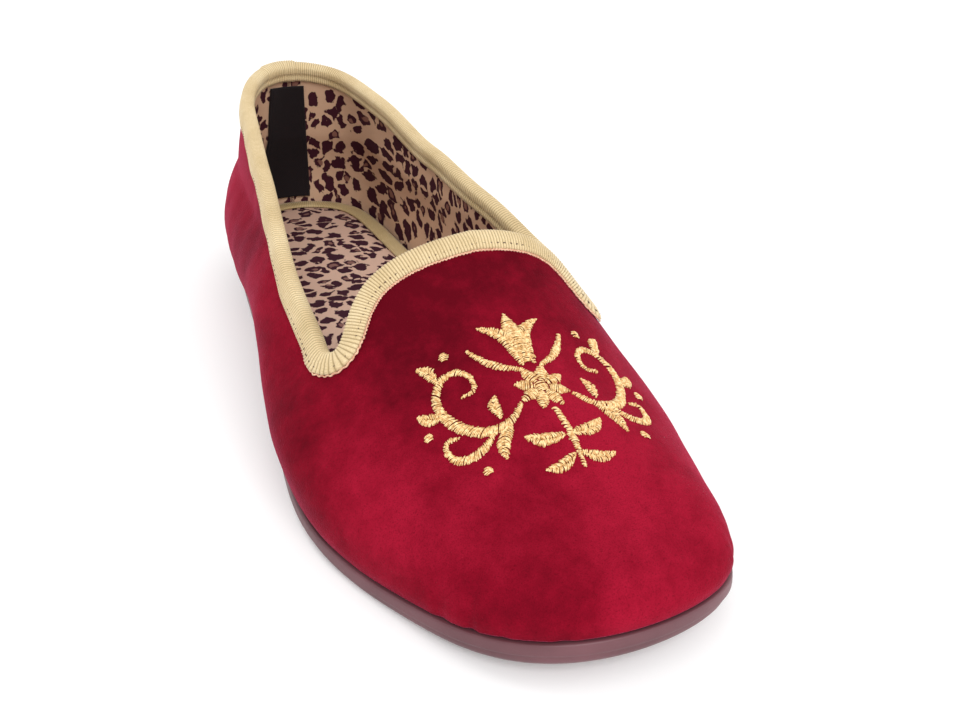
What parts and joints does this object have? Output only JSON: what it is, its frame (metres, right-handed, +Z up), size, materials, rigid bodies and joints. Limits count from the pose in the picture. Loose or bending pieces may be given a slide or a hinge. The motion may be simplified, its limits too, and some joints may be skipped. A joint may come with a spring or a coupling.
{
  "type": "velvet slipper",
  "caption": "Right slipper of crimson velvet with a gold ribbon-bound collar, leopard lined insole and a low wedge rubber sole.",
  "frame": {"origin": "on the floor, under the middle of the shoe's box", "axes": "+Z up from the floor; the heel is towards +Y and the toe towards -Y; the outer side of the right foot is -X"},
  "size_m": [0.0988, 0.2516, 0.0742],
  "materials": {
    "sole_rubber": "satin",
    "velvet": "velvet pile",
    "gold_ribbon": "ribbed ribbon",
    "lining_cloth": "smooth cloth",
    "olive_ribbon": "flat ribbon",
    "black_tape": "matt tape"
  },
  "bodies": {
    "root": {"outsole": "sole_rubber", "upper": "velvet", "topline_binding": "gold_ribbon", "insole": "lining_cloth", "insole_binding": "olive_ribbon", "heel_tape": "black_tape"}
  },
  "joints": []
}
